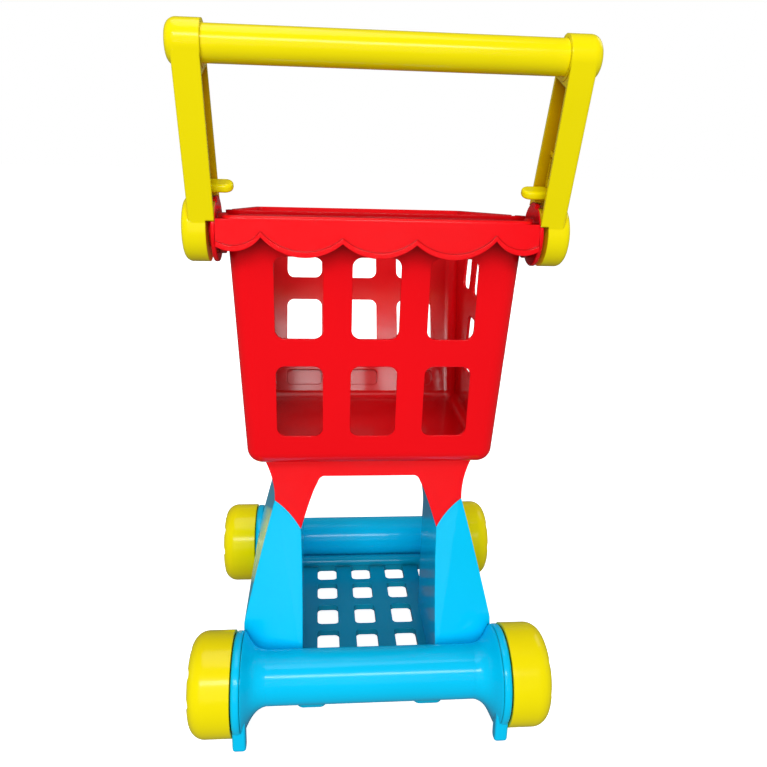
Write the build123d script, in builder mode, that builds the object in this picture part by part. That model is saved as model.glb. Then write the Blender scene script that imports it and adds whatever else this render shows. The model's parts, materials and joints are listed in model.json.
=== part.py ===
from build123d import *
from math import atan, cos, radians, sin, sqrt, tan
import os

# Toy shopping cart. Millimetres, +Z up, +Y the way the cart rolls forward, child behind at -Y.
# Origin: on the floor, below the middle of the cart's length and width.

# ---------------------------------------------------------------- driving dimensions
SIDES = (("left", -1), ("right", 1))

# wheels and axles
wheel_radius = 38.6
wheel_inner_x = 103.4
wheel_outer_x = 135.0
wheel_wall = 2.6
wheel_corner = 12.0
wheel_hub_radius = 7.5
wheel_lobes = 9
wheel_recess_x = 129.6
flute_radius = 8.0
flute_depth = 1.6
flute_start = 14.0
rear_axle_y = -123.4
front_axle_y = 98.0
axle_z = wheel_radius
axle_radius = 3.0
running_gap = 0.06

# blue tubes that carry the axles, with a flared guard at each end
tube_radius = 20.3
tube_wall = 2.6
tube_z = 42.3
flare_start_x = 79.0
guard_x = 96.0
guard_radius = 37.8
guard_outer_x = 102.9
flare_sections = (
    (79.0, 42.3, 20.3),
    (83.0, 42.0, 21.3),
    (87.5, 41.2, 24.0),
    (91.2, 40.3, 28.5),
    (94.0, 39.5, 33.5),
    (96.2, 38.6, 37.4),
)
guard_round = 2.6
foot_inner_x = 93.0
tube_hollow_x = 88.0
axle_half = 132.0
cap_radius = 7.0
cap_inner_x = 130.0
bush_radius = 6.0
seat_gap = 0.05

# basket tub
tub_bottom_z = 201.0
tub_top_z = 392.0
tub_wall = 2.4
tub_floor = 3.6
tub_bottom_half_x = 93.1
tub_top_half_x = 101.6
tub_bottom_back_y = -87.0
tub_top_back_y = -107.9
tub_bottom_front_y = 77.5
tub_top_front_y = 160.0
tub_corner = 12.0
corner_plate_x = 94.5
corner_plate = 3.0
tub_floor_radius = 11.0

# rim of the basket, tilted down towards the front
rim_back_y = -119.3
rim_front_y = 160.813
rim_back_z = 389.5
rim_front_z = 377.0
rim_half_x = 102.9
rim_corner = 8.0
lip_height = 3.0
flange_thickness = 2.6
rim_round = 2.3
skirt_depth = 32.0
skirt_flare = 1.7
skirt_thickness = 2.0
skirt_bead = 1.1
skirt_bead_height = 3.6
lobe_depth = 29.0
end_lobe_depth = 25.5
cusp_depth = 18.0
back_cusps = (-110.0, -77.0, -24.2, 24.2, 77.0, 110.0)
back_cusp_depths = (19.5, 16.5, 20.0, 20.0, 16.5, 19.5)
front_cusps = (-129.0, -77.0, -25.0, 25.0, 77.0, 129.0)
side_cusps = (-108.0, -76.0, -26.0, 24.0, 74.0, 126.0, 196.0)

# windows in the tub
window_pitch_x = 53.5
window_width = 33.4
window_corner = 6.5
side_window_width = 28.0
side_window_ys = ((-58.0, -15.0, 28.0), (-63.0, -20.0, 23.0, 66.0))
side_window_reach = 100.8
back_window_rows = ((225.5, 280.5), (301.0, 359.0))
front_window_rows = ((243.0, 292.0), (312.0, 361.0))
pane_middle_z = 221.3
pane_height = 14.4
pane_thickness = 1.3

# handle
pivot_y = -99.4
pivot_z = 376.0
handle_lean = 21.7
handle_length = 115.4
bar_radius = 10.6
bar_wall = 2.5
boss_radius = 13.2
boss_inner_x = 105.6
boss_outer_x = 126.0
arm_inner_x = 106.0
arm_outer_x = 122.5
arm_web = 2.8
arm_flange = 2.6
arm_top_half = 13.2
arm_low_half = 17.2
drum_radius = 21.3
arm_pocket_low = 21.6
arm_pocket_high = 101.0
bar_half = 117.0
drum_inner_x = 111.5
drum_outer_x = 127.5
disc_inner_x = 105.6
disc_outer_x = 108.6
disc_clearance_radius = 22.0
neck_radius = 11.0
spacer_radius = 12.0
notch_radius = 2.6
pin_radius = 4.0
pin_head_radius = 7.2
pin_head_x = 124.0
pin_head_height = 2.2
pin_inner_x = 98.4

# latch sliders inside the arms
latch_low = 22.2
latch_top = 38.0
latch_inner_x = 112.0
tab_low = 26.6
tab_high = 32.2
tab_inner_x = 94.4
spring_radius = 3.2
spring_wire = 0.8
spring_x = 115.6
spring_seat = 51.8

# stand under the tub and the blue uprights
stand_top_z = 200.9
seam_outer = (73.9, 166.0)
seam_middle = (63.8, 157.4)
seam_inner = (53.7, 143.7)
seam_gap = 0.1
arch_top_z = 184.1
stand_back_y = -66.4
stand_front_y = 45.0
stand_ref_z = 192.0
stand_lean = 0.25
upright_lean = 0.335
upright_back_y = -107.5
upright_front_y = 82.0
upright_ref_z = 57.0
upright_outer_low_x = 98.0
upright_low_z = 26.1
shell = 2.4

# tray
tray_top_z = 26.0
tray_thickness = 5.5
tray_half_x = 90.0
tray_hole_pitch = 33.7
tray_hole_width = 18.7
tray_hole_shift = 2.4
tray_lip_y = 71.5
tray_lip_z = 28.0
tray_lip_radius = 6.5
tray_lip_half = 70.0
tray_lug_z = 18.5
tray_rows = ((-71.7, -42.0), (-32.7, -3.5), (7.2, 34.0), (40.7, 66.0))

# screws
screw_radius = 1.5
screw_head_radius = 3.0
screw_head_height = 1.8
screw_gap = 0.02
handle_screw_seat = 11.2
stand_screw_places = ((-25, -48), (25, -48), (-25, 30), (25, 30))
stand_screw_top = 203.4
upright_screw_rear = (72.0, -57.0)
upright_screw_front = (84.5, 53.0)
upright_boss_radius = 4.2
tray_screw_x = 45.0
handle_screw_x = 113.0

os.makedirs("parts", exist_ok=True)


def save(piece, name):
    """Label a finished piece and write its STEP file."""
    piece.part.label = name
    export_step(piece.part, f"parts/{name}.step")


def between(low, high, share):
    """Value at a share of the way from low to high."""
    return low + (high - low) * share


# ---------------------------------------------------------------- basket
rim_tilt = atan((rim_back_z - rim_front_z) / (rim_front_y - rim_back_y))
rim_length = (rim_front_y - rim_back_y) / cos(rim_tilt)
rim_plane = Plane(
    origin=(0, rim_back_y, rim_back_z),
    x_dir=(1, 0, 0),
    z_dir=(0, sin(rim_tilt), cos(rim_tilt)),
)


def rim_height(y):
    """Height of the rim's lip at y."""
    return rim_back_z - (y - rim_back_y) * sin(rim_tilt) / cos(rim_tilt)


def tub_volume(inset, low_z, floor_radius):
    """Tapered block of the tub, its walls moved in by inset."""
    with BuildPart() as volume:
        for z in (low_z, tub_top_z):
            share = (z - tub_bottom_z) / (tub_top_z - tub_bottom_z)
            half_x = between(tub_bottom_half_x, tub_top_half_x, share) - inset
            back = between(tub_bottom_back_y, tub_top_back_y, share) + inset
            front = between(tub_bottom_front_y, tub_top_front_y, share) - inset
            with BuildSketch(Plane.XY.offset(z)):
                with Locations((0, (back + front) / 2)):
                    RectangleRounded(2 * half_x, front - back, tub_corner - inset)
        loft()
        fillet(volume.faces().sort_by(Axis.Z)[0].edges(), floor_radius)
    return volume.part


def rim_ring(top, bottom, outset_top, outset_bottom, thickness):
    """Closed band that follows the rim, between two depths below the lip."""
    with BuildPart() as ring:
        for inset, mode in ((0, Mode.ADD), (thickness, Mode.SUBTRACT)):
            for depth, outset in ((top, outset_top), (bottom, outset_bottom)):
                with BuildSketch(rim_plane.offset(-depth)):
                    with Locations((0, rim_length / 2)):
                        RectangleRounded(
                            2 * (rim_half_x + outset - inset),
                            rim_length + 2 * (outset - inset),
                            rim_corner + outset - inset,
                        )
            loft(mode=mode)
    return ring.part


def scallop_zone(plane, points, low, amount):
    """Solid below a row of arcs: points are (cusp, lobe bottom, cusp, ...) on the plane."""
    with BuildPart() as zone:
        with BuildSketch(plane):
            with BuildLine():
                for i in range(0, len(points) - 2, 2):
                    ThreePointArc(points[i], points[i + 1], points[i + 2])
                Polyline(points[-1], (points[-1][0], low), (points[0][0], low), points[0])
            make_face()
        extrude(amount=amount)
    return zone.part


def lobes(cusps, depths, height, end_depth=lobe_depth):
    """Cusps and lobe bottoms along one side; height gives the lip's z at a place."""
    points = [(cusps[0], height(cusps[0]) - depths[0])]
    for i in range(1, len(cusps)):
        middle = (cusps[i - 1] + cusps[i]) / 2
        lobe = end_depth if i in (1, len(cusps) - 1) else lobe_depth
        points.append((middle, height(middle) - lobe))
        points.append((cusps[i], height(cusps[i]) - depths[i]))
    return points


def scallop_cutter(raise_by):
    """What lies below the scalloped edge on all four sides, moved up by raise_by."""
    low = rim_front_z - 2 * skirt_depth
    back_z = rim_back_z + raise_by
    front_z = rim_front_z + raise_by
    back = scallop_zone(
        Plane.XZ.offset(-(rim_back_y + 12)),
        lobes(back_cusps, back_cusp_depths, lambda x: back_z, end_lobe_depth),
        low,
        24,
    )
    front = scallop_zone(
        Plane.XZ.offset(-(rim_front_y + 12)),
        lobes(front_cusps, [cusp_depth] * len(front_cusps), lambda x: front_z),
        low,
        60,
    )
    sides = scallop_zone(
        Plane.YZ.offset(-120),
        lobes(side_cusps, [cusp_depth] * len(side_cusps), lambda y: rim_height(y) + raise_by),
        low,
        240,
    )
    with BuildPart() as cutter:
        add(back)
        add(front)
        add(sides)
    return cutter.part


scallops = scallop_cutter(0)
scallops_above_bead = scallop_cutter(skirt_bead_height)
skirt_top = lip_height + rim_round
skirt_bottom = lip_height + skirt_depth
skirt_band = rim_ring(skirt_top, skirt_bottom, 0, skirt_flare, skirt_thickness)
bead_band = rim_ring(
    skirt_top, skirt_bottom, skirt_bead, skirt_flare + skirt_bead, skirt_thickness
)
tub_outside = tub_volume(0, tub_bottom_z, tub_floor_radius)
tub_inside = tub_volume(tub_wall, tub_bottom_z + tub_floor, tub_floor_radius - tub_wall)



def corner_plates(proud):
    """Two plates that carry the back apron on to the pivot flanges, moved out by proud."""
    top_y = rim_back_y - skirt_top * sin(rim_tilt) - proud
    low_y = rim_back_y - skirt_bottom * sin(rim_tilt) - skirt_flare - proud
    top_z = rim_back_z - skirt_top
    low_z = rim_back_z - skirt_bottom
    with BuildPart() as plates:
        for name, side in SIDES:
            with BuildSketch(Plane.YZ.offset(side * corner_plate_x)):
                Polygon(
                    (top_y, top_z),
                    (low_y, low_z),
                    (low_y + corner_plate + proud, low_z),
                    (top_y + corner_plate + proud, top_z),
                    align=None,
                )
            extrude(amount=side * (disc_inner_x + 0.1 - corner_plate_x))
    return plates.part


with BuildPart() as skirt_edge:
    add(bead_band)
    add(corner_plates(skirt_bead))
    add(scallops_above_bead, mode=Mode.INTERSECT)
    add(scallops, mode=Mode.SUBTRACT)

with BuildPart() as skirt:
    add(skirt_band)
    add(corner_plates(0))
    add(scallops, mode=Mode.SUBTRACT)
    add(skirt_edge.part)

with BuildPart() as flange:
    with BuildSketch(rim_plane.offset(-lip_height)):
        with Locations((0, rim_length / 2)):
            RectangleRounded(2 * rim_half_x, rim_length, rim_corner)
    extrude(amount=-flange_thickness)
    rim_normal = Axis(origin=rim_plane.origin, direction=rim_plane.z_dir)
    fillet(flange.faces().sort_by(rim_normal)[-1].edges(), rim_round)


def pivot_side(side):
    """Round flange, neck and bored boss that carry the handle on one side."""
    with BuildPart() as mount:
        with BuildSketch(Plane.YZ.offset(side * disc_inner_x)):
            with Locations((pivot_y, pivot_z)):
                Circle(drum_radius)
        extrude(amount=side * (disc_outer_x - disc_inner_x))
        chamfer(mount.edges().filter_by(GeomType.CIRCLE), 0.6)
        with BuildSketch(Plane.YZ.offset(side * (tub_top_half_x - 3))):
            with Locations((pivot_y, pivot_z)):
                Circle(neck_radius)
        extrude(amount=side * (disc_inner_x - tub_top_half_x + 3.4))
        with BuildSketch(Plane.YZ.offset(side * disc_outer_x)):
            with Locations((pivot_y, pivot_z)):
                Circle(spacer_radius)
        extrude(amount=side * (drum_inner_x - disc_outer_x - 0.5))
        # notch that the latch drops into
        with BuildSketch(Plane.YZ.offset(side * (disc_inner_x - 0.2))):
            with Locations(
                (
                    pivot_y - drum_radius * sin(radians(handle_lean)),
                    pivot_z + drum_radius * cos(radians(handle_lean)),
                )
            ):
                Circle(notch_radius)
        extrude(amount=side * 3.4, mode=Mode.SUBTRACT)
    return mount.part


pivot_sides = [pivot_side(side) for name, side in SIDES]

with BuildPart() as windows:
    # blocks that cut the windows in the back wall, the front wall and the two side walls
    for plane_y, reach, rows in (
        (-76, 36, back_window_rows),
        (155, 45, front_window_rows[1:]),
        (128, 45, front_window_rows[:1]),
    ):
        for low, high in rows:
            with BuildSketch(Plane.XZ.offset(-plane_y)):
                with Locations([(i * window_pitch_x, (low + high) / 2) for i in (-1, 0, 1)]):
                    RectangleRounded(window_width, high - low, window_corner)
            extrude(amount=reach)
    for (low, high), places in zip(front_window_rows, side_window_ys):
        for name, side in SIDES:
            with BuildSketch(Plane.YZ.offset(side * 86)):
                with Locations([(y, (low + high) / 2) for y in places]):
                    RectangleRounded(side_window_width, high - low, window_corner)
            extrude(amount=side * (side_window_reach - 86))

front_slope = atan((tub_top_front_y - tub_bottom_front_y) / (tub_top_z - tub_bottom_z))
pane_y = tub_bottom_front_y + (pane_middle_z - tub_bottom_z) * tan(front_slope) - pane_thickness
with BuildPart() as panes:
    # row of blind windows low in the front wall, thinned from the inside
    with BuildSketch(
        Plane(
            origin=(0, pane_y, pane_middle_z),
            x_dir=(1, 0, 0),
            z_dir=(0, cos(front_slope), -sin(front_slope)),
        )
    ):
        with Locations([(i * window_pitch_x, 0) for i in (-1, 0, 1)]):
            RectangleRounded(window_width, pane_height, 4)
    extrude(amount=-9)

with BuildPart() as basket:
    add(tub_outside)
    split(bisect_by=rim_plane, keep=Keep.BOTTOM)
    add(flange.part)
    add(skirt.part)
    for mount in pivot_sides:
        add(mount)
    # the hollow of the tub
    add(tub_inside, mode=Mode.SUBTRACT)
    add(windows.part, mode=Mode.SUBTRACT)
    add(panes.part, mode=Mode.SUBTRACT)
    # recesses in the rim that the latch tabs fold into
    for name, side in SIDES:
        with BuildSketch(Plane.YZ.offset(side * 92)):
            with Locations((-69.2, 391.3)):
                RectangleRounded(18.3, 40, 2)
        extrude(amount=side * 15, mode=Mode.SUBTRACT)
    # screw holes in the floor, from below
    with BuildSketch(Plane.XY.offset(tub_bottom_z - 0.1)):
        with Locations(stand_screw_places):
            Circle(screw_radius + screw_gap)
    extrude(amount=stand_screw_top - tub_bottom_z + 0.3, mode=Mode.SUBTRACT)
    # bores for the pivot pins, straight through flange, neck and tub wall
    with BuildSketch(Plane.YZ.offset(-115)):
        with Locations((pivot_y, pivot_z)):
            Circle(pin_radius + seat_gap)
    extrude(amount=230, mode=Mode.SUBTRACT)

save(basket, "basket")


# ---------------------------------------------------------------- handle
bar_y = pivot_y - handle_length * sin(radians(handle_lean))
bar_z = pivot_z + handle_length * cos(radians(handle_lean))


def arm_plane(x):
    """Plane across the cart at x: local y runs up the arm from the pivot, local x is forward."""
    lean = radians(handle_lean)
    return Plane(origin=(x, pivot_y, pivot_z), x_dir=(0, cos(lean), sin(lean)), z_dir=(1, 0, 0))


def round_block(radius, low_x, high_x, edge, height):
    """Disc on the arm, its outer rim rounded by edge; height is measured up the arm."""
    with BuildPart() as disc:
        with BuildSketch(arm_plane(low_x)):
            with Locations((0, height)):
                Circle(radius)
        extrude(amount=high_x - low_x)
        fillet(disc.faces().sort_by(Axis.X)[-1].edges(), edge)
    return disc.part


boss_block = round_block(boss_radius, boss_inner_x, boss_outer_x, 6.5, handle_length)
drum_block = round_block(drum_radius, drum_inner_x, drum_outer_x, 5.0, 0)


def channel_outline(inset, low, high):
    """Tapered outline of the arm's channel between two heights."""
    taper = (arm_low_half - arm_top_half) / (108 - 12)
    half_low = arm_low_half - taper * max(low - 12, 0) - inset
    half_high = arm_top_half - inset + taper * max(108 - high, 0)
    return ((-half_low, low), (-half_high, high), (half_high, high), (half_low, low))


with BuildPart() as right_arm:
    # channel, open towards the other arm
    with BuildSketch(arm_plane(arm_inner_x)):
        Polygon(*channel_outline(0, 12, handle_length), align=None)
    extrude(amount=arm_outer_x - arm_inner_x)
    fillet(right_arm.faces().sort_by(Axis.X)[-1].edges(), 2.4)
    with BuildSketch(arm_plane(arm_inner_x)):
        Polygon(*channel_outline(arm_flange, arm_pocket_low, arm_pocket_high), align=None)
    extrude(amount=arm_outer_x - arm_web - arm_inner_x, mode=Mode.SUBTRACT)
    # room for the round flange of the basket
    with BuildSketch(arm_plane(arm_inner_x - 1)):
        Circle(disc_clearance_radius)
    extrude(amount=drum_inner_x - arm_inner_x + 1, mode=Mode.SUBTRACT)
    add(boss_block)
    add(drum_block)
    # two guide ribs beside the latch and the seat of its spring
    with BuildSketch(arm_plane(112)):
        with Locations((-7.3, 38), (9.0, 38)):
            Rectangle(1.4, 24)
        with Locations((1.0, spring_seat + 1.6)):
            Rectangle(24, 3.2)
    extrude(amount=arm_outer_x - arm_web - 112 + 0.4)
    # socket for the tube of the handle bar, with a spigot that fills the tube's end
    with BuildSketch(arm_plane(boss_inner_x - 1)):
        with Locations((0, handle_length)):
            Circle(bar_radius + seat_gap)
    extrude(amount=bar_half + 0.5 - boss_inner_x + 1, mode=Mode.SUBTRACT)
    with BuildSketch(arm_plane(boss_inner_x - 1.6)):
        with Locations((0, handle_length)):
            Circle(bar_radius - bar_wall - seat_gap)
    extrude(amount=bar_half + 1 - boss_inner_x + 1.6)
    # bore for the pivot pin, with room for its head
    with BuildSketch(arm_plane(drum_inner_x - 1)):
        Circle(pin_radius + running_gap)
    extrude(amount=drum_outer_x - drum_inner_x + 2, mode=Mode.SUBTRACT)
    with BuildSketch(arm_plane(pin_head_x - 0.5)):
        Circle(pin_head_radius + 0.6)
    extrude(amount=6, mode=Mode.SUBTRACT)
    # screw hole and head recess in the front of the boss
    with BuildSketch(Plane.XZ.offset(-bar_y)):
        with Locations((handle_screw_x, bar_z)):
            Circle(screw_radius + screw_gap)
    extrude(amount=-16, mode=Mode.SUBTRACT)
    with BuildSketch(Plane.XZ.offset(-(bar_y + handle_screw_seat))):
        with Locations((handle_screw_x, bar_z)):
            Circle(screw_head_radius + 0.3)
    extrude(amount=-8, mode=Mode.SUBTRACT)

with BuildPart() as left_arm:
    mirror(right_arm.part, about=Plane.YZ)

save(left_arm, "left_handle_arm")
save(right_arm, "right_handle_arm")

with BuildPart() as handle_bar:
    with BuildSketch(arm_plane(-bar_half)):
        with Locations((0, handle_length)):
            Circle(bar_radius)
            Circle(bar_radius - bar_wall, mode=Mode.SUBTRACT)
    extrude(amount=2 * bar_half)
    with BuildSketch(Plane.XZ.offset(-bar_y)):
        with Locations((-handle_screw_x, bar_z), (handle_screw_x, bar_z)):
            Circle(screw_radius + screw_gap)
    extrude(amount=-16, mode=Mode.SUBTRACT)

save(handle_bar, "handle_bar")

with BuildPart() as right_pin:
    with BuildSketch(arm_plane(pin_inner_x)):
        Circle(pin_radius)
    extrude(amount=pin_head_x - pin_inner_x)
    with BuildSketch(arm_plane(pin_head_x)):
        Circle(pin_head_radius)
    extrude(amount=pin_head_height)
    fillet(right_pin.faces().sort_by(Axis.X)[-1].edges(), 1.2)

with BuildPart() as left_pin:
    mirror(right_pin.part, about=Plane.YZ)

save(left_pin, "left_pivot_pin")
save(right_pin, "right_pivot_pin")

# ---------------------------------------------------------------- latches
lean = radians(handle_lean)
with BuildPart() as tab:
    # flat tongue that points inward, round at its end and along its edges
    with BuildSketch(
        Plane(
            origin=(0, pivot_y - tab_low * sin(lean), pivot_z + tab_low * cos(lean)),
            x_dir=(1, 0, 0),
            z_dir=(0, -sin(lean), cos(lean)),
        )
    ):
        with Locations(((tab_inner_x + latch_inner_x + 2) / 2, 2.0)):
            RectangleRounded(latch_inner_x + 2 - tab_inner_x, 12, 5.4)
    extrude(amount=tab_high - tab_low)
    fillet(tab.faces().sort_by(Axis.Z)[0].edges(), 2.1)
    fillet(tab.faces().sort_by(Axis.Z)[-1].edges(), 2.1)

with BuildPart() as right_latch:
    with BuildSketch(arm_plane(latch_inner_x)):
        with Locations((1.0, (latch_low + latch_top) / 2)):
            RectangleRounded(12, latch_top - latch_low, 1.5)
    extrude(amount=arm_outer_x - arm_web - 0.4 - latch_inner_x)
    add(tab.part)

with BuildPart() as left_latch:
    mirror(right_latch.part, about=Plane.YZ)

save(left_latch, "left_latch_slider")
save(right_latch, "right_latch_slider")


def latch_spring(side):
    """Coil between the latch and the seat in the arm."""
    lean = radians(handle_lean)
    along = (0, -sin(lean), cos(lean))
    start = arm_plane(side * spring_x).from_local_coords((1.0, latch_top + 0.6, 0))
    length = spring_seat - latch_top - 1.2
    with BuildPart() as coil:
        with BuildLine():
            path = Helix(length / 5, length, spring_radius, center=start, direction=along)
        with BuildSketch(Plane(origin=path @ 0, z_dir=path % 0)):
            Circle(spring_wire / 2)
        sweep(path=path, is_frenet=True)
    return coil


save(latch_spring(-1), "left_latch_spring")
save(latch_spring(1), "right_latch_spring")

# ---------------------------------------------------------------- axles, tubes and guards
def tube_solid(y, grow):
    """Outside of a tube with its two flared guards, grown by grow."""
    with BuildPart() as solid:
        with BuildSketch(Plane.YZ.offset(-flare_start_x)):
            with Locations((y, tube_z)):
                Circle(tube_radius + grow)
        extrude(amount=2 * flare_start_x)
        for side in (-1, 1):
            for x, z, radius in flare_sections:
                with BuildSketch(Plane.YZ.offset(side * x)):
                    with Locations((y, z)):
                        Circle(radius + grow)
            loft()
            if grow:
                with BuildSketch(Plane.YZ.offset(side * (guard_x - grow))):
                    with Locations((y, axle_z)):
                        Circle(guard_radius + grow)
                extrude(amount=side * 12)
    return solid.part


def guard(y, side):
    """Round disc with rolled edges between a flare and its wheel."""
    with BuildPart() as disc:
        with BuildSketch(Plane.YZ.offset(side * guard_x)):
            with Locations((y, axle_z)):
                Circle(guard_radius)
        extrude(amount=side * (guard_outer_x - guard_x))
        fillet(disc.edges().filter_by(GeomType.CIRCLE), guard_round)
    return disc.part


def stop_lug(y, side):
    """Upright lug on the back of a guard, rounded all over."""
    with BuildPart() as lug:
        with BuildSketch(Plane.YZ.offset(side * foot_inner_x)):
            with Locations((y - 26.6, 14.6)):
                RectangleRounded(10.0, 27.0, 4.0)
        extrude(amount=side * (guard_outer_x - foot_inner_x))
        fillet(lug.faces().sort_by(Axis.X)[0].edges(), 2.2)
        fillet(lug.faces().sort_by(Axis.X)[-1].edges(), 2.2)
    return lug.part


def housing(y, feet):
    """Tube for one axle; feet gives the rear one its two stop lugs."""
    with BuildPart() as case:
        add(tube_solid(y, 0))
        for side in (-1, 1):
            add(guard(y, side))
            with BuildSketch(Plane.YZ.offset(side * 98.4)):
                with Locations((y, axle_z)):
                    Circle(33.8)
                    Circle(bush_radius + 3, mode=Mode.SUBTRACT)
            extrude(amount=side * 5, mode=Mode.SUBTRACT)
            if feet:
                add(stop_lug(y, side))
        # hollow of the tube and the seats of the bushes
        with BuildSketch(Plane.YZ.offset(-tube_hollow_x)):
            with Locations((y, tube_z)):
                Circle(tube_radius - tube_wall)
        extrude(amount=2 * tube_hollow_x, mode=Mode.SUBTRACT)
        with BuildSketch(Plane.YZ.offset(-110)):
            with Locations((y, axle_z)):
                Circle(bush_radius + screw_gap)
        extrude(amount=220, mode=Mode.SUBTRACT)
        # screw holes from below
        with BuildSketch(Plane.XY.offset(tube_z - tube_radius - 2)):
            with Locations((-tray_screw_x, y), (tray_screw_x, y)):
                Circle(screw_radius + screw_gap)
        extrude(amount=12, mode=Mode.SUBTRACT)
    return case


save(housing(rear_axle_y, True), "rear_axle_housing")
save(housing(front_axle_y, False), "front_axle_housing")


def axle(y):
    """Steel rod from hub to hub."""
    with BuildPart() as rod:
        with BuildSketch(Plane.YZ.offset(-axle_half)):
            with Locations((y, axle_z)):
                Circle(axle_radius)
        extrude(amount=2 * axle_half)
        chamfer(rod.edges().filter_by(GeomType.CIRCLE), 0.5)
    return rod


save(axle(rear_axle_y), "rear_axle")
save(axle(front_axle_y), "front_axle")

with BuildPart() as axle_bushes:
    for y in (rear_axle_y, front_axle_y):
        for side in (-1, 1):
            with BuildSketch(Plane.YZ.offset(side * 92)):
                with Locations((y, axle_z)):
                    Circle(bush_radius)
                    Circle(axle_radius + screw_gap, mode=Mode.SUBTRACT)
            extrude(amount=side * 10.6)

save(axle_bushes, "axle_bushes")

with BuildPart() as cap:
    with BuildSketch(Plane.YZ):
        Circle(cap_radius)
    extrude(amount=4.6)
    fillet(cap.faces().sort_by(Axis.X)[-1].edges(), 3.2)
    with BuildSketch(Plane.YZ.offset(-0.1)):
        Circle(axle_radius + screw_gap)
    extrude(amount=axle_half - cap_inner_x + 0.2, mode=Mode.SUBTRACT)

with BuildPart() as axle_caps:
    for y in (rear_axle_y, front_axle_y):
        add(Pos(cap_inner_x, y, axle_z) * cap.part)
        add(Pos(-cap_inner_x, y, axle_z) * Rot(0, 0, 180) * cap.part)

save(axle_caps, "axle_caps")

# ---------------------------------------------------------------- wheels
with BuildPart() as flute:
    with BuildSketch(Plane.XY.offset(flute_start)):
        with Locations((wheel_outer_x + flute_radius - flute_depth, 0)):
            Circle(flute_radius)
    extrude(amount=30)
    fillet(flute.faces().sort_by(Axis.Z)[0].edges(), 5)

with BuildPart() as wheel:
    # section through the cup: along the axle, out from the axle
    with BuildSketch(Plane.XZ):
        with BuildLine():
            bore = axle_radius + running_gap
            inner = wheel_radius - wheel_wall
            corner_x = wheel_outer_x - wheel_corner
            corner_r = wheel_radius - wheel_corner
            slant = sqrt(0.5)
            Polyline((wheel_inner_x, inner), (wheel_inner_x, wheel_radius), (corner_x, wheel_radius))
            ThreePointArc(
                (corner_x, wheel_radius),
                (corner_x + slant * wheel_corner, corner_r + slant * wheel_corner),
                (wheel_outer_x, corner_r),
            )
            ThreePointArc((wheel_outer_x, corner_r), (134.5, 18), (133.4, 9.5))
            Polyline(
                (133.4, 9.5),
                (wheel_recess_x, 9.0),
                (wheel_recess_x, bore),
                (wheel_inner_x, bore),
                (wheel_inner_x, wheel_hub_radius),
                (126.0, wheel_hub_radius),
                (127.0, 11.5),
                (130.6, 13.0),
                (132.3, corner_r),
            )
            thin = wheel_corner - wheel_wall
            ThreePointArc(
                (132.3, corner_r),
                (corner_x + slant * thin, corner_r + slant * thin),
                (corner_x, inner),
            )
            Line((corner_x, inner), (wheel_inner_x, inner))
        make_face()
    revolve(axis=Axis.X)
    # ribs between hub and tread
    with BuildSketch(Plane.YZ.offset(109)):
        with PolarLocations(0, 6):
            with Locations((21.5, 0)):
                Rectangle(30, 1.8)
    extrude(amount=14.5)
    with BuildSketch(Plane.YZ.offset(120)):
        with PolarLocations(0, 6):
            with Locations((18, 0)):
                Rectangle(22, 1.8)
    extrude(amount=11.5)
    # flutes that run out over the rounded corner
    for i in range(wheel_lobes):
        add(Rot(360 * i / wheel_lobes, 0, 0) * flute.part, mode=Mode.SUBTRACT)

for row, y in (("rear", rear_axle_y), ("front", front_axle_y)):
    for name, side in SIDES:
        with BuildPart() as placed_wheel:
            turn = 0 if side > 0 else 180
            add(Pos(0, y, axle_z) * Rot(0, 0, turn) * wheel.part)
        save(placed_wheel, f"{row}_{name}_wheel")

# ---------------------------------------------------------------- uprights
def lean_y(y, ref_z, lean, z):
    """Place along Y, at height z, of a face that leans by lean per millimetre."""
    return y + lean * (z - ref_z)


def side_outline(back, front, low, high, inset):
    """Solid seen from the side: leaning back and front faces, given as (y, ref z, lean)."""
    with BuildPart() as slab:
        with BuildSketch(Plane.YZ):
            Polygon(
                (lean_y(*back, low) + inset, low),
                (lean_y(*back, high) + inset, high),
                (lean_y(*front, high) - inset, high),
                (lean_y(*front, low) - inset, low),
                align=None,
            )
        extrude(amount=110)
    return slab.part


upright_back = (upright_back_y, upright_ref_z, upright_lean)
upright_front = (upright_front_y, upright_ref_z, -0.3)
stand_back = (stand_back_y, stand_ref_z, stand_lean)
stand_front = (stand_front_y, stand_ref_z, -0.3)


def upright_volume(inset):
    """Right upright as a full block, every wall but the bottom moved in by inset."""
    low = upright_low_z - inset
    seam = inset + seam_gap
    with BuildPart() as block:
        with BuildSketch(Plane.XZ.offset(-110)):
            with BuildLine():
                Polyline(
                    (40, seam_inner[1] - seam),
                    (40, low),
                    (upright_outer_low_x - inset, low),
                    (upright_outer_low_x - inset, 72),
                )
                ThreePointArc(
                    (upright_outer_low_x - inset, 72),
                    (87.7 - inset, 114),
                    (seam_outer[0] - inset, seam_outer[1] - seam),
                )
                ThreePointArc(
                    (seam_outer[0] - inset, seam_outer[1] - seam),
                    (seam_middle[0], seam_middle[1] - seam),
                    (seam_inner[0], seam_inner[1] - seam),
                )
                Line((seam_inner[0], seam_inner[1] - seam), (40, seam_inner[1] - seam))
            make_face()
        extrude(amount=240)
        add(side_outline(upright_back, upright_front, low, 170, inset), mode=Mode.INTERSECT)
        # outer facet of the near face
        low_y = lean_y(*upright_back, 57)
        high_y = lean_y(*upright_back, 160)
        crease_low = Vector(55, low_y + inset, 57)
        crease_high = Vector(72, high_y + inset, 160)
        edge_point = Vector(88.3, lean_y(*upright_back, 110) + 4.2 + inset, 110)
        normal = (edge_point - crease_low).cross(crease_high - crease_low)
        split(bisect_by=Plane(origin=crease_low, z_dir=normal), keep=Keep.BOTTOM)
    return block.part


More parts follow.
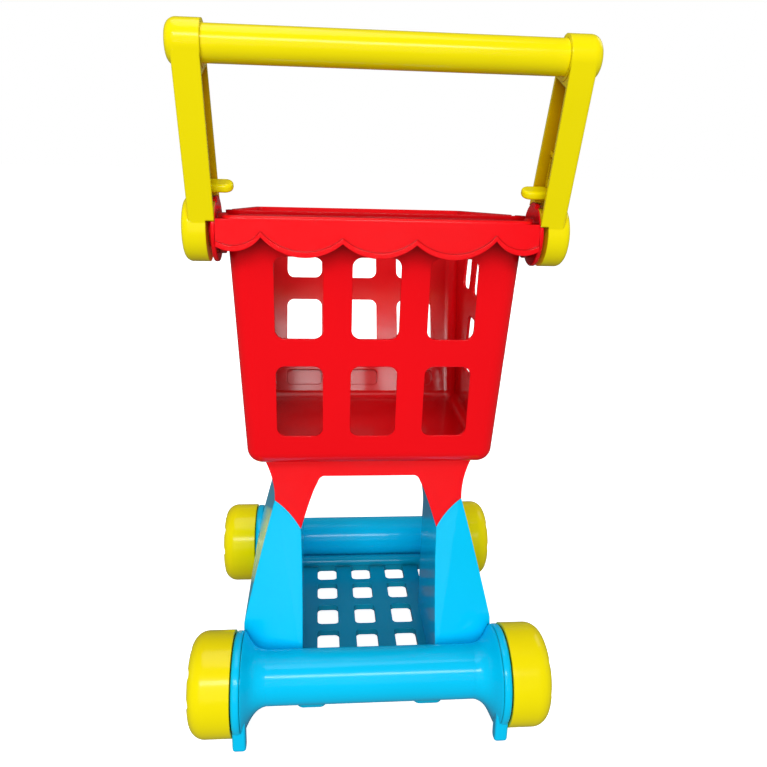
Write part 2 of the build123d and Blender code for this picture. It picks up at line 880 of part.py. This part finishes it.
def inner_room(inset):
    """Room between the uprights, which widens towards the front of the cart."""
    with BuildPart() as room:
        for y, low_x, middle_x in (
            (-125, 52, 52.5),
            (-5, 53, 53.2),
            (40, 68, 64),
            (95, 77.6, 69),
        ):
            with BuildSketch(Plane.XZ.offset(-y)):
                Polygon(
                    (30, 10),
                    (low_x + inset, 10),
                    (low_x + inset, 84),
                    (middle_x + inset, 120),
                    (seam_inner[0] + inset, seam_inner[1]),
                    (seam_inner[0] + inset, 150),
                    (30, 150),
                    align=None,
                )
        loft(ruled=True)
    return room.part


with BuildPart() as upright_hollow:
    add(upright_volume(shell))
    add(inner_room(shell), mode=Mode.SUBTRACT)
    for y in (rear_axle_y, front_axle_y):
        add(tube_solid(y, shell + 0.1), mode=Mode.SUBTRACT)

with BuildPart() as right_upright:
    add(upright_volume(0))
    add(inner_room(0), mode=Mode.SUBTRACT)
    for y in (rear_axle_y, front_axle_y):
        add(tube_solid(y, 0.1), mode=Mode.SUBTRACT)
    add(upright_hollow.part, mode=Mode.SUBTRACT)
    # screw bosses inside, each tied to a wall by a rib
    with BuildSketch(Plane.XY.offset(upright_low_z)):
        with Locations(upright_screw_rear, upright_screw_front):
            Circle(upright_boss_radius)
        with Locations(((upright_screw_rear[0] + 53.5) / 2, upright_screw_rear[1])):
            Rectangle(upright_screw_rear[0] - 53.5, 2.2)
        with Locations(((upright_screw_front[0] + 96.5) / 2, upright_screw_front[1])):
            Rectangle(96.5 - upright_screw_front[0], 2.2)
    extrude(amount=18)
    with BuildSketch(Plane.XY.offset(upright_low_z - 1)):
        with Locations(upright_screw_rear, upright_screw_front):
            Circle(screw_radius + screw_gap)
    extrude(amount=14, mode=Mode.SUBTRACT)

with BuildPart() as left_upright:
    mirror(right_upright.part, about=Plane.YZ)

save(left_upright, "left_upright")
save(right_upright, "right_upright")

# ---------------------------------------------------------------- stand under the tub
def stand_half(inset):
    """Right half of the arch, as a block or as its hollow."""
    top = stand_top_z - inset
    with BuildPart() as half:
        with BuildSketch(Plane.XZ.offset(-80)):
            with BuildLine():
                low = -14 if inset else 0
                Polyline((0, top), (84 - 1.4 * inset, top))
                Spline(
                    (84 - 1.4 * inset, top),
                    (78.1 - inset, 189),
                    (74.8 - inset, 177.5),
                    (seam_outer[0] - inset, seam_outer[1]),
                )
                if inset:
                    Polyline(
                        (seam_outer[0] - inset, seam_outer[1]),
                        (seam_outer[0] - inset, seam_outer[1] + low),
                        (seam_inner[0] + inset, seam_inner[1] + low),
                        (seam_inner[0] + inset, seam_inner[1]),
                    )
                else:
                    ThreePointArc(seam_outer, seam_middle, seam_inner)
                Spline(
                    (seam_inner[0] + inset, seam_inner[1]),
                    (50.5 + inset, 153.8),
                    (46.3 + inset, 166.2),
                    (42.4 + inset, 175.8),
                    (40.2 + inset, 180.0 + inset / 2),
                )
                ThreePointArc(
                    (40.2 + inset, 180.0 + inset / 2),
                    (38.3 + inset / 2, 183.0 + inset),
                    (34, arch_top_z + inset),
                )
                Polyline((34, arch_top_z + inset), (0, arch_top_z + inset), (0, top))
            make_face()
        extrude(amount=170)
        add(side_outline(stand_back, stand_front, 120, 202, inset), mode=Mode.INTERSECT)
    return half.part


with BuildPart() as stand_right:
    add(stand_half(0))
    add(stand_half(shell), mode=Mode.SUBTRACT)

with BuildPart() as stand:
    add(stand_right.part)
    mirror(stand_right.part, about=Plane.YZ)
    # solid blocks round the screws
    with BuildSketch(Plane.XY.offset(arch_top_z + 1)):
        with Locations(stand_screw_places):
            Circle(4.5)
    extrude(amount=stand_top_z - arch_top_z - 1)
    with BuildSketch(Plane.XY.offset(arch_top_z - 4)):
        with Locations(stand_screw_places):
            Circle(screw_radius + screw_gap)
    extrude(amount=24, mode=Mode.SUBTRACT)

save(stand, "basket_stand")

# ---------------------------------------------------------------- tray
with BuildPart() as tray:
    with BuildSketch(Plane.XY.offset(tray_top_z - tray_thickness)):
        with Locations((0, (rear_axle_y + front_axle_y) / 2)):
            Rectangle(2 * tray_half_x, front_axle_y - rear_axle_y)
    extrude(amount=tray_thickness)
    # round lip in front of the front tube
    with BuildSketch(Plane.YZ.offset(-tray_lip_half)):
        with Locations((tray_lip_y, tray_lip_z)):
            Circle(tray_lip_radius)
    extrude(amount=2 * tray_lip_half)
    # lugs under the tubes
    with BuildSketch(Plane.XY.offset(tray_lug_z)):
        for y, out in ((rear_axle_y, -1), (front_axle_y, 1)):
            with Locations((-tray_screw_x, y - 8 * out), (tray_screw_x, y - 8 * out)):
                RectangleRounded(22, 28, 5)
    extrude(amount=tube_z - tube_radius - 0.1 - tray_lug_z)
    for y in (rear_axle_y, front_axle_y):
        with BuildSketch(Plane.YZ.offset(-tray_half_x - 1)):
            with Locations((y, tube_z)):
                Circle(tube_radius + 0.1)
        extrude(amount=2 * tray_half_x + 2, mode=Mode.SUBTRACT)
        for side in (-1, 1):
            with BuildSketch(Plane.YZ.offset(side * flare_start_x)):
                with Locations((y, tube_z)):
                    Circle(guard_radius)
            extrude(amount=side * 20, mode=Mode.SUBTRACT)
    # grid of round-cornered holes
    for row, (back, front) in enumerate(tray_rows):
        reach = 1 if row < 2 else 2
        places = [
            (tray_hole_shift + tray_hole_pitch * k, (back + front) / 2)
            for k in range(-reach, reach + 1)
        ]
        with BuildSketch(Plane.XY.offset(10)):
            with Locations(places):
                RectangleRounded(tray_hole_width, front - back, 4)
        extrude(amount=17, mode=Mode.SUBTRACT)
    with BuildSketch(Plane.XY.offset(10)):
        with Locations(
            (-tray_screw_x, rear_axle_y),
            (tray_screw_x, rear_axle_y),
            (-tray_screw_x, front_axle_y),
            (tray_screw_x, front_axle_y),
            upright_screw_rear,
            upright_screw_front,
            (-upright_screw_rear[0], upright_screw_rear[1]),
            (-upright_screw_front[0], upright_screw_front[1]),
        ):
            Circle(screw_radius + screw_gap)
    extrude(amount=20, mode=Mode.SUBTRACT)

save(tray, "tray")

# ---------------------------------------------------------------- screws
def screw_up(x, y, head_z, top_z):
    """Round-headed screw driven upwards; head_z is the underside it bears against."""
    with BuildPart() as screw:
        with BuildSketch(Plane.XY.offset(head_z - screw_head_height)):
            with Locations((x, y)):
                Circle(screw_head_radius)
        extrude(amount=screw_head_height)
        fillet(screw.faces().sort_by(Axis.Z)[0].edges(), 0.9)
        with BuildSketch(Plane.XY.offset(head_z)):
            with Locations((x, y)):
                Circle(screw_radius)
        extrude(amount=top_z - head_z)
    return screw.part


with BuildPart() as stand_screws:
    for x, y in stand_screw_places:
        add(screw_up(x, y, arch_top_z, stand_screw_top))

save(stand_screws, "stand_screws")

with BuildPart() as upright_screws:
    for x, y in (upright_screw_rear, upright_screw_front):
        for side in (-1, 1):
            add(screw_up(side * x, y, tray_top_z - tray_thickness, upright_low_z + 11))

save(upright_screws, "upright_screws")

with BuildPart() as tray_screws:
    for y in (rear_axle_y, front_axle_y):
        for side in (-1, 1):
            add(screw_up(side * tray_screw_x, y, tray_lug_z, tube_z - tube_radius + 6))

save(tray_screws, "tray_screws")

with BuildPart() as handle_screws:
    for side in (-1, 1):
        with BuildSketch(Plane.XZ.offset(-(bar_y + 1))):
            with Locations((side * handle_screw_x, bar_z)):
                Circle(screw_radius)
        extrude(amount=-(handle_screw_seat - 1))
        with BuildSketch(Plane.XZ.offset(-(bar_y + handle_screw_seat))):
            with Locations((side * handle_screw_x, bar_z)):
                Circle(screw_head_radius)
        extrude(amount=-1.2)

save(handle_screws, "handle_screws")
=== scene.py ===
import json
import math

import bpy
from mathutils import Matrix, Vector


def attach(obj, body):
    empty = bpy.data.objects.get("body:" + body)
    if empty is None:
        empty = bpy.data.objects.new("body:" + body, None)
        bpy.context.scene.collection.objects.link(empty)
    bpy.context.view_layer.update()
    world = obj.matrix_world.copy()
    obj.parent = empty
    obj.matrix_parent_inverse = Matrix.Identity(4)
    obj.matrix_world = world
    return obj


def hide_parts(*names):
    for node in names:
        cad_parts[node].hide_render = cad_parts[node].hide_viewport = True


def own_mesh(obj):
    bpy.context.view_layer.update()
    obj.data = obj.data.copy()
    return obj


# Toy shopping cart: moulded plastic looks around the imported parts. Metres, +Z up, +Y forward.
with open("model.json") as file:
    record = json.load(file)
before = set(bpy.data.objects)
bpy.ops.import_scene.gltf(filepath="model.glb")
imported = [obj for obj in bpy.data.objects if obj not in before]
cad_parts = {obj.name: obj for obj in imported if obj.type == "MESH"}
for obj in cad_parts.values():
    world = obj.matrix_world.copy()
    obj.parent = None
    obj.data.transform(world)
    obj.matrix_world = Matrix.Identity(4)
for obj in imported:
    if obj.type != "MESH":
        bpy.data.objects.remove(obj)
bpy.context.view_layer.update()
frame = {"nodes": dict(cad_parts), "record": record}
nodes = frame["nodes"]


# ---------------------------------------------------------------- node helpers
class Shader:
    """Short names for building one material's node tree."""

    def __init__(self, name):
        self.material = bpy.data.materials.new(name)
        self.material.use_nodes = True
        self.tree = self.material.node_tree
        self.tree.nodes.clear()
        self.output = self.add("ShaderNodeOutputMaterial")
        self.surface = self.add("ShaderNodeBsdfPrincipled")
        self.link(self.surface.outputs["BSDF"], self.output.inputs["Surface"])
        self.place = self.add("ShaderNodeTexCoord").outputs["Object"]

    def add(self, kind, **settings):
        node = self.tree.nodes.new(kind)
        for key, value in settings.items():
            setattr(node, key, value)
        return node

    def link(self, source, target):
        self.tree.links.new(source, target)

    def noise(self, scale, detail=3.0, roughness=0.5, stretch=None):
        """Noise of the object's own coordinates, stretched along an axis if asked."""
        texture = self.add("ShaderNodeTexNoise")
        texture.inputs["Scale"].default_value = scale
        texture.inputs["Detail"].default_value = detail
        texture.inputs["Roughness"].default_value = roughness
        source = self.place
        if stretch:
            mapping = self.add("ShaderNodeMapping")
            mapping.inputs["Scale"].default_value = stretch
            self.link(source, mapping.inputs["Vector"])
            source = mapping.outputs["Vector"]
        self.link(source, texture.inputs["Vector"])
        return texture.outputs["Fac"]

    def ramp(self, value, *stops):
        """Value run through a ramp of (position, grey or colour) stops."""
        node = self.add("ShaderNodeValToRGB")
        elements = node.color_ramp.elements
        while len(elements) < len(stops):
            elements.new(0.5)
        for element, (position, colour) in zip(elements, stops):
            element.position = position
            if not isinstance(colour, tuple):
                colour = (colour, colour, colour)
            element.color = (*colour, 1)
        self.link(value, node.inputs["Fac"])
        return node.outputs["Color"]

    def mix(self, share, low, high):
        """Mix of two colours (or colour outputs) by a share output."""
        node = self.add("ShaderNodeMix", data_type="RGBA")
        self.link(share, node.inputs["Factor"])
        for socket, value in (("A", low), ("B", high)):
            target = [i for i in node.inputs if i.name == socket and i.type == "RGBA"][0]
            if isinstance(value, tuple):
                target.default_value = (*value, 1)
            else:
                self.link(value, target)
        return [o for o in node.outputs if o.type == "RGBA"][0]

    def bump(self, height, distance, strength, normal=None):
        """Bump output from a height output."""
        node = self.add("ShaderNodeBump")
        node.inputs["Distance"].default_value = distance
        node.inputs["Strength"].default_value = strength
        self.link(height, node.inputs["Height"])
        if normal:
            self.link(normal, node.inputs["Normal"])
        return node.outputs["Normal"]

    def set(self, **values):
        """Uniform values, set on the shader's own sockets."""
        for name, value in values.items():
            self.surface.inputs[name.replace("_", " ")].default_value = value


# ---------------------------------------------------------------- looks
# noise scales of the plastic, per metre
flow_scale = 9
rub_scale = 420
handling_scale = 22
sink_scale = 26
peel_scale = 900

# sizes of the plastic's detail, in metres
# reach of the ambient occlusion that paints shade into hollows
painted_shade_reach = 0.12
edge_radius = 0.0012
sink_depth = 0.0010
peel_depth = 0.0001

# strengths of the plastic's detail
flow_shade = 0.95
rub_share = 0.12
rub_stretch = (1, 1, 0.25)
handling_change = 0.06
sink_strength = 0.12
peel_strength = 0.06


def moulded_plastic(name, body, shade, pale, gloss):
    """Glossy injection-moulded plastic: body colour, a painted shade colour for hollows, and its
    rubbed tone.
    """
    s = Shader(name)
    # slow drift of colour left by the flow of the melt
    drift = s.ramp(s.noise(flow_scale, 2), (0.35, 0.0), (0.7, 1.0))
    base = s.mix(drift, body, tuple(flow_shade * c for c in body))
    # painted shade: a darker colour mixed in where ambient occlusion finds hollows, standing in
    # for the shade there
    shade_occlusion = s.add("ShaderNodeAmbientOcclusion", samples=8, only_local=True)
    shade_occlusion.inputs["Distance"].default_value = painted_shade_reach
    painted_shade_share = s.ramp(shade_occlusion.outputs["AO"], (0.40, 1.0), (0.90, 0.0))
    base = s.mix(painted_shade_share, base, shade)
    # fine rubbed streaks
    streaks = s.noise(rub_scale, 5, 0.7, rub_stretch)
    rub = s.ramp(streaks, (0.68, 0.0), (0.80, rub_share))
    base = s.mix(rub, base, pale)
    s.link(base, s.surface.inputs["Base Color"])
    # roughness that varies with handling
    touch = s.noise(handling_scale, 3, 0.6)
    rough = s.ramp(touch, (0.3, gloss), (0.75, gloss + handling_change))
    s.link(rough, s.surface.inputs["Roughness"])
    # soft moulded edges, slight sink and a faint orange peel
    edge = s.add("ShaderNodeBevel", samples=6)
    edge.inputs["Radius"].default_value = edge_radius
    sink = s.bump(s.noise(sink_scale, 1), sink_depth, sink_strength, edge.outputs["Normal"])
    peel = s.bump(s.noise(peel_scale, 2), peel_depth, peel_strength, sink)
    s.link(peel, s.surface.inputs["Normal"])
    s.set(IOR=1.5, Coat_Weight=0.10, Coat_Roughness=0.06, Specular_IOR_Level=0.30)
    return s.material


zinc_light = (0.62, 0.63, 0.65)
zinc_dark = (0.48, 0.49, 0.52)
zinc_scale = 60
turning_scale = 1400
turning_stretch = (1, 0.1, 1)
turning_depth = 0.00005


def plated_steel(name):
    """Zinc-plated steel with fine turning marks."""
    s = Shader(name)
    marks = s.noise(turning_scale, 3, 0.6, turning_stretch)
    base = s.mix(s.noise(zinc_scale, 4), zinc_light, zinc_dark)
    s.link(base, s.surface.inputs["Base Color"])
    s.link(s.ramp(marks, (0.3, 0.22), (0.7, 0.38)), s.surface.inputs["Roughness"])
    s.link(s.bump(marks, turning_depth, 0.4), s.surface.inputs["Normal"])
    s.set(Metallic=1.0)
    return s.material


nylon_light = (0.72, 0.71, 0.66)
nylon_dark = (0.62, 0.61, 0.56)
nylon_scale = 90
matt_scale = 200
grain_scale = 700
grain_depth = 0.0001
nylon_scatter = 0.004


def natural_nylon(name):
    """Milky matt nylon."""
    s = Shader(name)
    base = s.mix(s.noise(nylon_scale, 3), nylon_light, nylon_dark)
    s.link(base, s.surface.inputs["Base Color"])
    matt = s.ramp(s.noise(matt_scale, 3), (0.3, 0.45), (0.7, 0.6))
    s.link(matt, s.surface.inputs["Roughness"])
    grain = s.bump(s.noise(grain_scale, 3), grain_depth, 0.3)
    s.link(grain, s.surface.inputs["Normal"])
    s.set(Subsurface_Weight=0.15, Subsurface_Radius=(nylon_scatter, nylon_scatter, nylon_scatter))
    return s.material


# body colour, its painted shade colour for hollows, its rubbed tone, and the roughness of its
# gloss
red = ((0.95, 0.003, 0.008), (0.38, 0.0, 0.002), (1.0, 0.07, 0.06), 0.12)
blue = ((0.0, 0.60, 0.98), (0.0, 0.22, 0.34), (0.10, 0.68, 1.0), 0.14)
yellow = ((0.93, 0.79, 0.0), (0.62, 0.36, 0.0), (0.95, 0.85, 0.06), 0.16)
# darker copy of the blue for the tray: painted shade
tray_shaded_blue = ((0.0, 0.40, 0.62), (0.0, 0.18, 0.26), (0.10, 0.52, 0.72), 0.14)

materials = {
    "red_plastic": moulded_plastic("red_plastic_looks", *red),
    "blue_plastic": moulded_plastic("blue_plastic_looks", *blue),
    "yellow_plastic": moulded_plastic("yellow_plastic_looks", *yellow),
    "steel": plated_steel("steel_looks"),
    "nylon": natural_nylon("nylon_looks"),
}

# painted shade: the tray gets a darker copy of the blue, for the shade it sits in among the other
# pieces
painted_shade_copies = {"tray": moulded_plastic("tray_shaded_looks", *tray_shaded_blue)}

for entry in frame["record"]["subparts"]:
    node = nodes[entry["node"]]
    node.data.materials.clear()
    node.data.materials.append(painted_shade_copies.get(entry["node"], materials[entry["material_slot"]]))

# ---------------------------------------------------------------- latch springs
# the arms lean towards the child from their pivots, and the coils lie along them
lean = math.radians(21.7)
pivot = Vector((0, -0.0994, 0.376))
up_arm = Vector((0, -math.sin(lean), math.cos(lean)))
over_arm = Vector((0, math.cos(lean), math.sin(lean)))
coil_x = 0.1156
coil_over = 0.001
coil_radius = 0.0032
coil_wire = 0.0004
coil_low = 0.0386
coil_high = 0.0512
coil_turns = 5
turn_steps = 30
wire_sides = 8


def latch_spring(name, side):
    """Coil over a latch, lying along the arm between fixed heights."""
    steps = turn_steps * coil_turns
    verts = []
    for i in range(steps + 1):
        turn = 2 * math.pi * coil_turns * i / steps
        height = coil_low + (coil_high - coil_low) * i / steps
        out = math.cos(turn) * over_arm + math.sin(turn) * Vector((1, 0, 0))
        core = pivot + up_arm * height + over_arm * coil_over + coil_radius * out
        core.x += side * coil_x
        for k in range(wire_sides):
            around = 2 * math.pi * k / wire_sides
            verts.append(core + coil_wire * (math.cos(around) * out + math.sin(around) * up_arm))
    faces = []
    for i in range(steps):
        for k in range(wire_sides):
            a = wire_sides * i + k
            b = wire_sides * i + (k + 1) % wire_sides
            faces.append((a, b, b + wire_sides, a + wire_sides))
    faces.append(tuple(range(wire_sides)))
    faces.append(tuple(steps * wire_sides + k for k in reversed(range(wire_sides))))
    mesh = bpy.data.meshes.new(name)
    mesh.from_pydata([tuple(v) for v in verts], [], faces)
    mesh.shade_smooth()
    mesh.materials.append(materials["steel"])
    coil = bpy.data.objects.new(name, mesh)
    bpy.context.scene.collection.objects.link(coil)
    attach(coil, "handle")
    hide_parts(f"{name}_latch_spring")
    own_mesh(coil)


latch_spring("left", -1)
latch_spring("right", 1)

# ---------------------------------------------------------------- floor
floor_half = 40.0
floor_glow = 0.92
paper_scale = 3
paper_light = (0.93, 0.93, 0.93)
paper_dark = (0.91, 0.91, 0.91)


def floor():
    """White paper under the cart: it glows a little and stays out of reflections and bounces."""
    mesh = bpy.data.meshes.new("floor")
    corners = ((-1, -1), (1, -1), (1, 1), (-1, 1))
    verts = [(floor_half * x, floor_half * y, 0) for x, y in corners]
    mesh.from_pydata(verts, [], [(0, 1, 2, 3)])
    paper = bpy.data.objects.new("floor", mesh)
    bpy.context.scene.collection.objects.link(paper)
    paper.visible_glossy = False
    paper.visible_diffuse = False
    s = Shader("paper")
    tone = s.mix(s.noise(paper_scale, 2), paper_light, paper_dark)
    s.link(tone, s.surface.inputs["Base Color"])
    s.link(tone, s.surface.inputs["Emission Color"])
    s.set(Roughness=0.9, Specular_IOR_Level=0.1, Emission_Strength=floor_glow)
    mesh.materials.append(s.material)


floor()

# ---------------------------------------------------------------- light
backdrop_light = 1.0
world_light = 0.22
world_gloss = 0.10


def studio():
    """White surroundings: bright behind the cart, softer as light, dim in reflections."""
    world = bpy.data.worlds.new("studio")
    world.use_nodes = True
    tree = world.node_tree
    background = tree.nodes["Background"]
    background.inputs["Color"].default_value = (1.0, 1.0, 1.0, 1)
    rays = tree.nodes.new("ShaderNodeLightPath")
    strength = tree.nodes.new("ShaderNodeMapRange")
    strength.inputs["To Min"].default_value = world_light
    strength.inputs["To Max"].default_value = world_gloss
    seen = tree.nodes.new("ShaderNodeMapRange")
    seen.inputs["To Max"].default_value = backdrop_light
    tree.links.new(rays.outputs["Is Glossy Ray"], strength.inputs["Value"])
    tree.links.new(rays.outputs["Is Camera Ray"], seen.inputs["Value"])
    tree.links.new(strength.outputs["Result"], seen.inputs["To Min"])
    tree.links.new(seen.outputs["Result"], background.inputs["Strength"])
    bpy.context.scene.world = world


studio()


def softbox(name, place, target, width, height, watts, reflects):
    """Rectangular area light aimed at a point; reflects says whether it shows in the gloss."""
    lamp = bpy.data.lights.new(name, "AREA")
    lamp.shape = "RECTANGLE"
    lamp.size = width
    lamp.size_y = height
    lamp.energy = watts
    holder = bpy.data.objects.new(name, lamp)
    holder.location = place
    holder.visible_glossy = reflects
    aim = Vector(target) - Vector(place)
    holder.rotation_euler = aim.to_track_quat("-Z", "Y").to_euler()
    bpy.context.scene.collection.objects.link(holder)


# name, place, target, width, height, watts, and whether it shows in the gloss
softboxes = (
    ("overhead", (-0.2, -0.1, 2.2), (0, 0, 0.2), 1.5, 1.0, 7, True),
    ("child_side", (-0.2, -2.1, 1.60), (0, 0, 0.40), 1.6, 0.35, 18, True),
    ("child_fill", (-0.3, -2.6, 0.7), (0, 0, 0.30), 2.0, 1.4, 42, False),
    ("far_side", (1.6, 0.9, 1.6), (0, 0, 0.25), 1.0, 1.0, 4, True),
    ("far_fill", (0.4, 2.6, 0.9), (0, 0, 0.30), 1.6, 1.2, 18, False),
    ("left_fill", (-2.4, 0.2, 0.9), (0, 0, 0.30), 1.4, 1.2, 13, False),
    ("right_fill", (2.4, 0.2, 0.9), (0, 0, 0.30), 1.4, 1.2, 13, False),
)
for row in softboxes:
    softbox(*row)

# ---------------------------------------------------------------- camera
# the camera was fitted to the cart's symmetric features in the photograph
# lens, in millimetres
sensor_width = 36.0
focal_length = 34.73
# place, in metres
nearest_shown = 0.01
camera_place = (-0.039501, -0.6067955, 0.4187665)
# turn, in radians
yaw = -0.0905
pitch = 0.2857
roll = 0.0262


def turned():
    """Rotation of the camera: yaw about the vertical, pitch downward, then roll about the view."""
    ahead = Vector(
        (-math.sin(yaw) * math.cos(pitch), math.cos(yaw) * math.cos(pitch), -math.sin(pitch))
    )
    level = Vector((math.cos(yaw), math.sin(yaw), 0))
    above = level.cross(ahead)
    across = math.cos(roll) * level + math.sin(roll) * above
    upward = -math.sin(roll) * level + math.cos(roll) * above
    return Matrix((across, upward, -ahead)).transposed().to_4x4()


camera_data = bpy.data.cameras.new("camera")
camera_data.sensor_width = sensor_width
camera_data.lens = focal_length
camera_data.clip_start = nearest_shown
camera = bpy.data.objects.new("camera", camera_data)
bpy.context.scene.collection.objects.link(camera)
bpy.context.scene.camera = camera
camera.matrix_world = Matrix.Translation(camera_place) @ turned()

# ---------------------------------------------------------------- colour
bpy.context.scene.view_settings.view_transform = "Standard"
bpy.context.scene.view_settings.look = "None"
